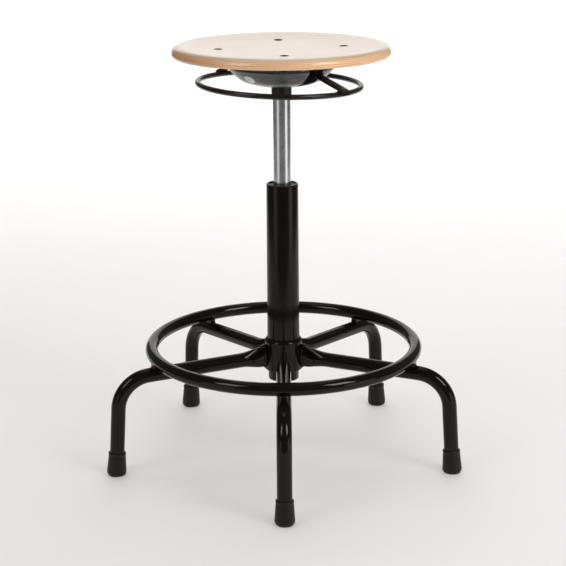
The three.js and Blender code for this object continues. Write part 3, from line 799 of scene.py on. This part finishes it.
def bolt(name, x, y):
    """A raised countersunk bolt with a hexagon socket."""
    dome = [(BOLT_HEAD_R * t, BOLT_TOP + BOLT_DOME * (1 - t * t))
            for t in (0.93, 0.85, 0.7, 0.55, 0.4, 0.25, 0.1, 0)]
    outline = fillet([(0, BOLT_END), (BOLT_R, BOLT_END, 0.6), (BOLT_R, BOLT_TOP - BOLT_CONE, 0.4),
                      (BOLT_HEAD_R, BOLT_TOP - 0.3, 0.15), *dome])
    head = revolve(name, outline, 48, closed=False, centre=(x, y))
    socket_low = BOLT_TOP - SOCKET_DEPTH
    cut(head, hexagon("socket_tool", x, y, SOCKET_R, math.radians(20), socket_low, BOLT_TOP + 2))
    tidy_normals(head, 30)
    return head


def nut(name, x, y, azimuth, low, high):
    """A hexagon nut with its edges rounded."""
    piece = hexagon(name, x, y, NUT_WIDTH / math.sqrt(3), azimuth, low, high)
    cut(piece, bore_tool(x, y, BOLT_R + 0.25, low - 1, high + 1))
    bevel(piece, 0.35, 2)
    return piece


for k, (x, y, _) in enumerate(bolt_places, 1):
    finish(bolt(f"countersunk_bolt_{k}", x, y), "seat", "bolt_dark", f"seat_bolt_{k}")
    low, high = (corner[2] for corner in node_mm(f"plain_washer_{k}"))
    outline = fillet([(HOLE_R, low), (WASHER_R, low, 0.3), (WASHER_R, high, 0.3), (HOLE_R, high)],
                     closed=True)
    finish(revolve(f"washer_{k}", outline, 48, centre=(x, y)), "seat", "fastener_zinc", f"plain_washer_{k}")
    low, high = (corner[2] for corner in node_mm(f"seat_nut_{k}"))
    finish(nut(f"hex_nut_{k}", x, y, math.atan2(y, x), low, high), "seat", "fastener_zinc", f"seat_nut_{k}")


# ---------------------------------------------------------------- ring lever
LEVER_Z, LEVER_R, WIRE_R, LEVER_X = 621.1, 128.4, 4.25, -3.3
SAG = math.radians(1.95)
STRIP_HALF, STRIP_THICK, STRIP_MIDDLE_Z = 8.8, 3.4, 649
ROOT_S, ROOT_Z = 57, 648.3  # where the strip bends down
WRAP_R, WRAP_END = 6.35, -0.25  # bent round the wire down to this angle, in radians
BEAD_REACH = 0.72  # of the wrap's radius


def sagged(point):
    """From the lever's own level frame to the slight tilt it rests at."""
    x, y, z = point
    z -= LEVER_Z
    c, s = math.cos(SAG), math.sin(SAG)
    return Vector((x * c + z * s, y, -x * s + z * c + LEVER_Z))


wire_path = [sagged(polar(LEVER_R, 2 * math.pi * k / 240, LEVER_Z) + Vector((LEVER_X, 0, 0)))
             for k in range(240)]
finish(tube_along("lever_wire", wire_path, WIRE_R, 20, loop=True), "lever", "lever_paint", "lever_ring")


def strip_half(sign):
    """One half of the strip's (distance, z) line, and the distance at which it meets the wire."""
    ex, ey = math.cos(MECHANISM), math.sin(MECHANISM)
    wire_s = LEVER_X * ex * sign + math.sqrt(LEVER_R ** 2 - (LEVER_X * ey) ** 2)
    rise, back = ROOT_Z - LEVER_Z, ROOT_S - wire_s
    first = math.atan2(rise, back) - math.acos(WRAP_R / math.hypot(rise, back))
    path = [(ROOT_S - 8, STRIP_MIDDLE_Z), (ROOT_S - 4, STRIP_MIDDLE_Z), (ROOT_S - 1.6, STRIP_MIDDLE_Z - 0.15),
            (ROOT_S, ROOT_Z)]
    for k in range(13):
        angle = first + (WRAP_END - first) * k / 12
        path.append((wire_s + WRAP_R * math.cos(angle), LEVER_Z + WRAP_R * math.sin(angle)))
    return [(sign * s, z) for s, z in path], wire_s


def strip():
    """The flat strip across the ring lever, bent down to the wire at both ends."""
    left, right_half = strip_half(-1)[0], strip_half(1)[0]
    path = left[::-1] + right_half
    sections = []
    for i, (s, z) in enumerate(path):
        s0, z0 = path[max(i - 1, 0)]
        s1, z1 = path[min(i + 1, len(path) - 1)]
        length = math.hypot(s1 - s0, z1 - z0)
        nx, nz = -(z1 - z0) / length, (s1 - s0) / length
        section = []
        for wide, high in ((-1, -1), (1, -1), (1, 1), (-1, 1)):
            section.append(sagged(turned((s + nx * high * STRIP_THICK / 2, wide * STRIP_HALF,
                                          z + nz * high * STRIP_THICK / 2), MECHANISM)))
        sections.append(section)
    piece = skin("lever_strip_bent", sections)
    bevel(piece, 0.6, 3, 50)
    return piece


finish(strip(), "lever", "lever_paint", "lever_strip")
for sign, side_name in ((1, "right"), (-1, "left")):
    wire_s = strip_half(sign)[1]
    for edge_sign, edge_name in ((1, "a"), (-1, "b")):
        bead = []
        for t in (math.radians(a) for a in range(-10, 171, 20)):
            s = sign * (wire_s + WRAP_R * BEAD_REACH * math.cos(t))
            z = LEVER_Z + WRAP_R * BEAD_REACH * math.sin(t)
            bead.append(sagged(turned((s, edge_sign * (STRIP_HALF + 0.4), z), MECHANISM)))
        weld = tube_along(f"lever_weld_{side_name}_{edge_name}", bead, 1.1, 8, wobble=0.2, seed=70)
        finish(weld, "lever", "lever_paint", look="weld")

# ---------------------------------------------------------------- CAD nodes that keep their shape
KEPT = {"bottom_disc": "bearing_steel", "lower_race": "bearing_steel", "thrust_washer": "nylon",
        "upper_race": "bearing_steel", "bumper": "bumper_rubber", "piston_rod": "rod_chrome",
        "piston": "bearing_steel", "rod_clip": "bearing_steel", "valve_button": "button_steel",
        "round_label": "label_film"}
for name, look in KEPT.items():
    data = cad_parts[name].data
    data.materials.clear()
    data.materials.append(looks[look])

# ---------------------------------------------------------------- studio
FLOOR_GREY = (0.84, 0.826, 0.812)


def paper(name, points, faces, mirrored=True):
    """A sheet of studio paper; mirrored says whether gloss shows it."""
    mesh = bpy.data.meshes.new(name)
    mesh.from_pydata(points, [], faces)
    for polygon in mesh.polygons:
        polygon.use_smooth = True
    sheet = bpy.data.objects.new(name, mesh)
    bpy.context.scene.collection.objects.link(sheet)
    mesh.materials.append(PAPER)
    sheet.visible_glossy = mirrored


def studio():
    """A pale seamless floor that sweeps up behind; gloss shows only the sheet round the stool."""
    front, near, back, sweep, height, half, outer = -4.5, -1.0, 3.2, 1.6, 5.0, 1.7, 6.0
    profile = [(near, 0.0)]
    for k in range(17):
        t = math.pi / 2 * k / 16
        profile.append((back + sweep * math.sin(t), sweep - sweep * math.cos(t)))
    profile.append((back + sweep, height))
    quads = [(2 * k, 2 * k + 1, 2 * k + 3, 2 * k + 2) for k in range(len(profile) - 1)]
    sheets = (("studio_floor", -half, half, True), ("studio_floor_left", -outer, -half, False),
              ("studio_floor_right", half, outer, False))
    for name, left, right, mirrored in sheets:
        paper(name, [(x, y, z) for y, z in profile for x in (left, right)], quads, mirrored)
    near_points = [(x, y, 0.0) for y in (front, near) for x in (-outer, outer)]
    paper("studio_floor_near", near_points, [(0, 1, 3, 2)], False)


n = Nodes("studio_paper")
n.join(n.mix(n.remap(n.noise(1.5, 2.0), 0.3, 0.7, 0.0, 1.0), FLOOR_GREY, [c * 1.02 for c in FLOOR_GREY]),
       n.shader.inputs["Base Color"])
n.feed(n.shader, Roughness=0.6, Specular_IOR_Level=0.25)
PAPER = n.material


def area(name, place, target, size, radiance, mirrored=True, lights=1.0, shadow=True):
    """A soft panel of the given size and radiance; mirrored says whether gloss shows it.

    lights is the share that falls on matt surfaces; the rest is seen in gloss only."""
    if 0 < lights < 1:
        glint = area(f"{name}_glint", place, target, size, radiance * (1 - lights))
        glint.visible_diffuse = False
        radiance *= lights
    light = bpy.data.lights.new(name, "AREA")
    light.shape = "RECTANGLE"
    light.size, light.size_y = size
    light.energy = radiance * math.pi * size[0] * size[1]
    light.use_shadow = shadow
    lamp = bpy.data.objects.new(name, light)
    bpy.context.scene.collection.objects.link(lamp)
    direction = Vector(target) - Vector(place)
    lamp.matrix_world = Matrix.Translation(place) @ direction.to_track_quat("-Z", "Y").to_matrix().to_4x4()
    lamp.visible_glossy = mirrored
    lamp.visible_diffuse = lights > 0
    lamp.visible_camera = False
    return lamp


def around(azimuth, distance, height):
    """A place round the column; azimuth 0 is the camera's side and 90 is its right."""
    turn = math.radians(azimuth)
    return (distance * math.sin(turn), AXIS_Y - distance * math.cos(turn), height)


studio()
MIDDLE = (0, AXIS_Y, 0.4)
area("softbox_left", around(-50, 3.0, 2.7), MIDDLE, (1.2, 1.6), 7.6, lights=0.3)
area("softbox_right", around(52, 3.0, 2.7), MIDDLE, (1.2, 1.6), 13.5, lights=0.28)
area("overhead", (0.0, 1.1, 4.4), (0, 0.4, 0), (2.6, 2.4), 2.2, lights=0.6)
area("sky", (0.0, 0.4, 4.9), (0, 0.4, 0), (9.0, 9.0), 0.56, mirrored=False)
area("front_fill", around(30, 3.4, 1.1), MIDDLE, (2.4, 1.6), 4.3, mirrored=False, shadow=False)
area("fill_left", around(-112, 2.8, 2.2), MIDDLE, (1.6, 1.4), 1.2, mirrored=False, shadow=False)
area("fill_right", around(100, 2.8, 1.7), MIDDLE, (1.6, 1.4), 3.4, mirrored=False, shadow=False)
area("panel_left", around(-51, 2.0, 0.25), (0, AXIS_Y, 0.35), (1.0, 0.7), 0.8, lights=0)
area("panel_right", around(60, 2.0, 0.25), (0, AXIS_Y, 0.35), (0.95, 0.7), 1.4, lights=0)
area("floor_wash", (0.0, 2.2, 2.6), (0, 4.1, 0.2), (4.4, 1.6), 1.9, mirrored=False)
area("backdrop_wash", (0.0, 2.4, 3.2), (0, 4.8, 2.4), (4.4, 1.2), 2.4, mirrored=False)
world = bpy.data.worlds.new("world")
world.use_nodes = True
background = world.node_tree.nodes["Background"]
background.inputs["Color"].default_value = (1, 0.995, 0.985, 1)
light_path = world.node_tree.nodes.new("ShaderNodeLightPath")
strength = world.node_tree.nodes.new("ShaderNodeMapRange")
strength.inputs["To Min"].default_value = 0.15  # dim, so that black gloss stays black
strength.inputs["To Max"].default_value = 0.85  # pale past the floor's edge
world.node_tree.links.new(light_path.outputs["Is Camera Ray"], strength.inputs["Value"])
world.node_tree.links.new(strength.outputs["Result"], background.inputs["Strength"])
bpy.context.scene.world = world
bpy.context.scene.view_settings.view_transform = "Standard"
